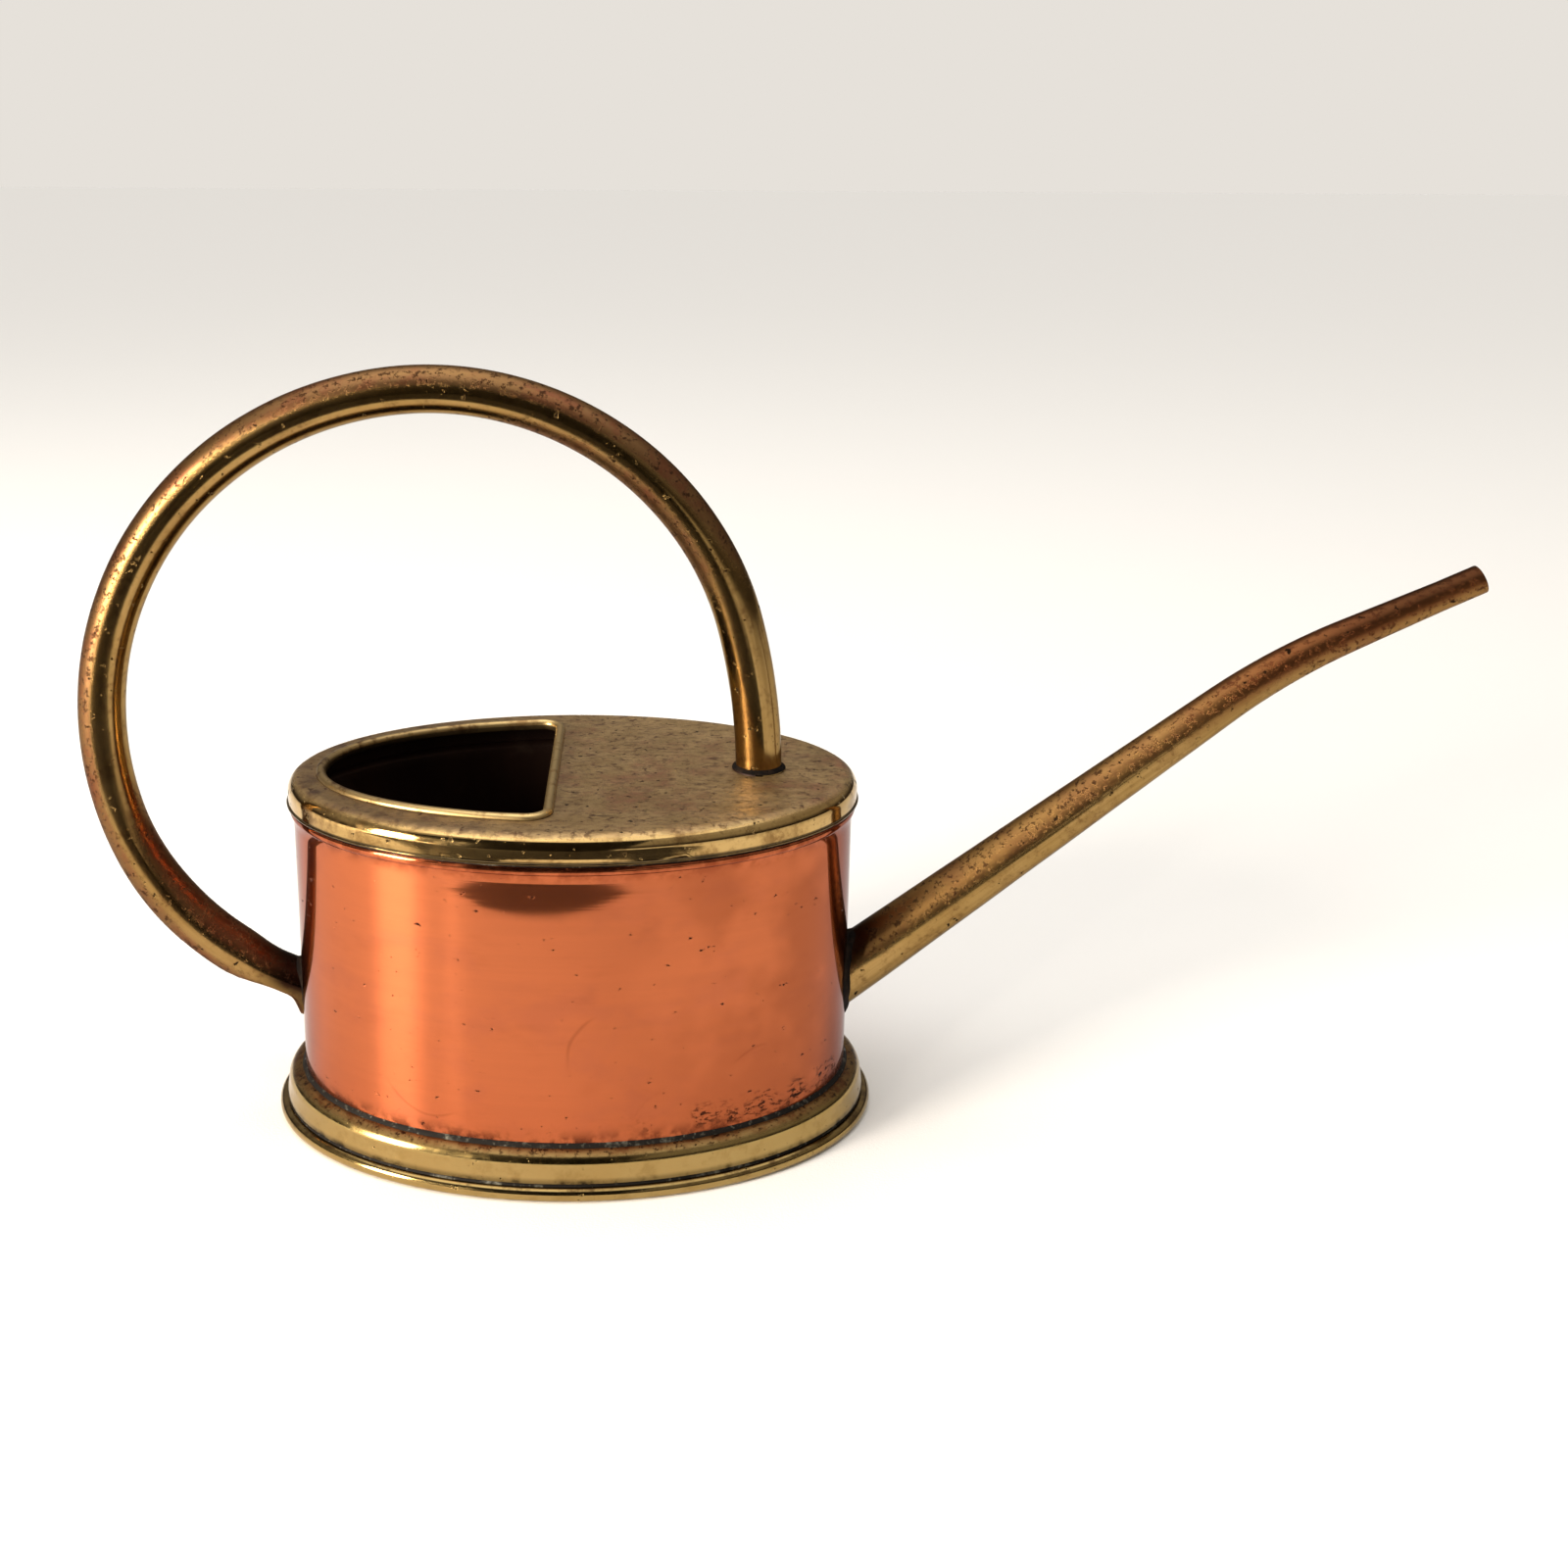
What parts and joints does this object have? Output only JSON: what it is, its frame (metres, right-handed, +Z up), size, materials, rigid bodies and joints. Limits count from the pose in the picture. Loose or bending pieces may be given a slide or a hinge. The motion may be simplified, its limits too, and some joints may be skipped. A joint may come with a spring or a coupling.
{
  "type": "watering can",
  "caption": "Oval metal watering can with a D-shaped filling opening, a round hoop handle over the body and a long tapered spout bent down at its tip.",
  "frame": {"origin": "on the ground, under the middle of the oval body", "axes": "+X towards the spout, along the body's long axis; +Y across the body; +Z up"},
  "size_m": [0.422, 0.128, 0.2314],
  "materials": {
    "copper": "polished copper sheet, lightly scratched",
    "cover_brass": "aged brass, dull and pitted on top",
    "base_brass": "aged polished brass",
    "tube_brass": "aged brass with brown patina",
    "spout_brass": "aged brass with red-brown patina",
    "solder": "dull soft solder with grime"
  },
  "bodies": {
    "root": {"body_wall": "copper", "top_cover": "cover_brass", "opening_rim": "cover_brass", "base_band": "base_brass", "base_plate": "base_brass", "handle_tube": "tube_brass", "spout_tube": "spout_brass", "cover_solder": "solder", "base_solder": "solder", "plate_solder": "solder", "handle_top_solder": "solder", "handle_foot_solder": "solder", "spout_solder": "solder"}
  },
  "joints": []
}
